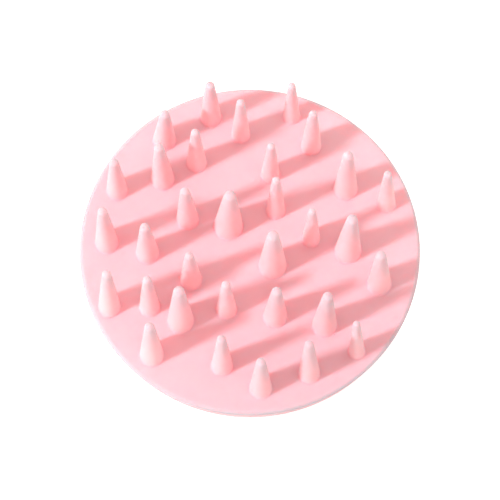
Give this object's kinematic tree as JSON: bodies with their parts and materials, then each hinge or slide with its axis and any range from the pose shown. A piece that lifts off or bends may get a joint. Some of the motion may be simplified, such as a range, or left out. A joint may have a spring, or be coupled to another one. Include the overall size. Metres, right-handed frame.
{
  "type": "scalp massager brush",
  "caption": "Round hand-held scalp massager: a flat silicone face with tapered soft bristles pushed onto a shallow back cover with a waisted stem and a palm knob.",
  "frame": {"origin": "centre of the flat end of the palm knob, where the brush stands with its bristles up", "axes": "+Z out of the bristle face, along the bristles; +X and +Y across the round face, +Y away from the viewer in the reference view"},
  "size_m": [0.08, 0.08, 0.067],
  "materials": {
    "face_silicone": "satin, slightly translucent",
    "grip_silicone": "matte, finely ribbed",
    "shell_plastic": "satin moulded",
    "inner_plastic": "moulded, slightly textured",
    "screw_steel": "plain"
  },
  "bodies": {
    "handle": {"handle_knob": "shell_plastic", "handle_stem": "shell_plastic", "back_cover": "shell_plastic", "carrier_plate": "inner_plastic", "grip_band": "grip_silicone", "end_cap": "shell_plastic", "knob_screw": "screw_steel", "plate_screw_1": "screw_steel", "plate_screw_2": "screw_steel", "plate_screw_3": "screw_steel", "plate_screw_4": "screw_steel", "stem_screw_1": "screw_steel", "stem_screw_2": "screw_steel", "stem_screw_3": "screw_steel"},
    "face": {"bristle_pad": "face_silicone", "bristle_01": "face_silicone", "bristle_02": "face_silicone", "bristle_03": "face_silicone", "bristle_04": "face_silicone", "bristle_05": "face_silicone", "bristle_06": "face_silicone", "bristle_07": "face_silicone", "bristle_08": "face_silicone", "bristle_09": "face_silicone", "bristle_10": "face_silicone", "bristle_11": "face_silicone", "bristle_12": "face_silicone", "bristle_13": "face_silicone", "bristle_14": "face_silicone", "bristle_15": "face_silicone", "bristle_16": "face_silicone", "bristle_17": "face_silicone", "bristle_18": "face_silicone", "bristle_19": "face_silicone", "bristle_20": "face_silicone", "bristle_21": "face_silicone", "bristle_22": "face_silicone", "bristle_23": "face_silicone", "bristle_24": "face_silicone", "bristle_25": "face_silicone", "bristle_26": "face_silicone", "bristle_27": "face_silicone", "bristle_28": "face_silicone", "bristle_29": "face_silicone", "bristle_30": "face_silicone", "bristle_31": "face_silicone", "bristle_32": "face_silicone", "fixing_peg_1": "face_silicone", "fixing_peg_2": "face_silicone", "fixing_peg_3": "face_silicone", "fixing_peg_4": "face_silicone", "fixing_peg_5": "face_silicone", "fixing_peg_6": "face_silicone"}
  },
  "joints": [
    {"name": "face_pull_off", "type": "slide", "parent": "handle", "child": "face", "axis": [0, 0, 1], "range_m": [0, 0.01]}
  ]
}
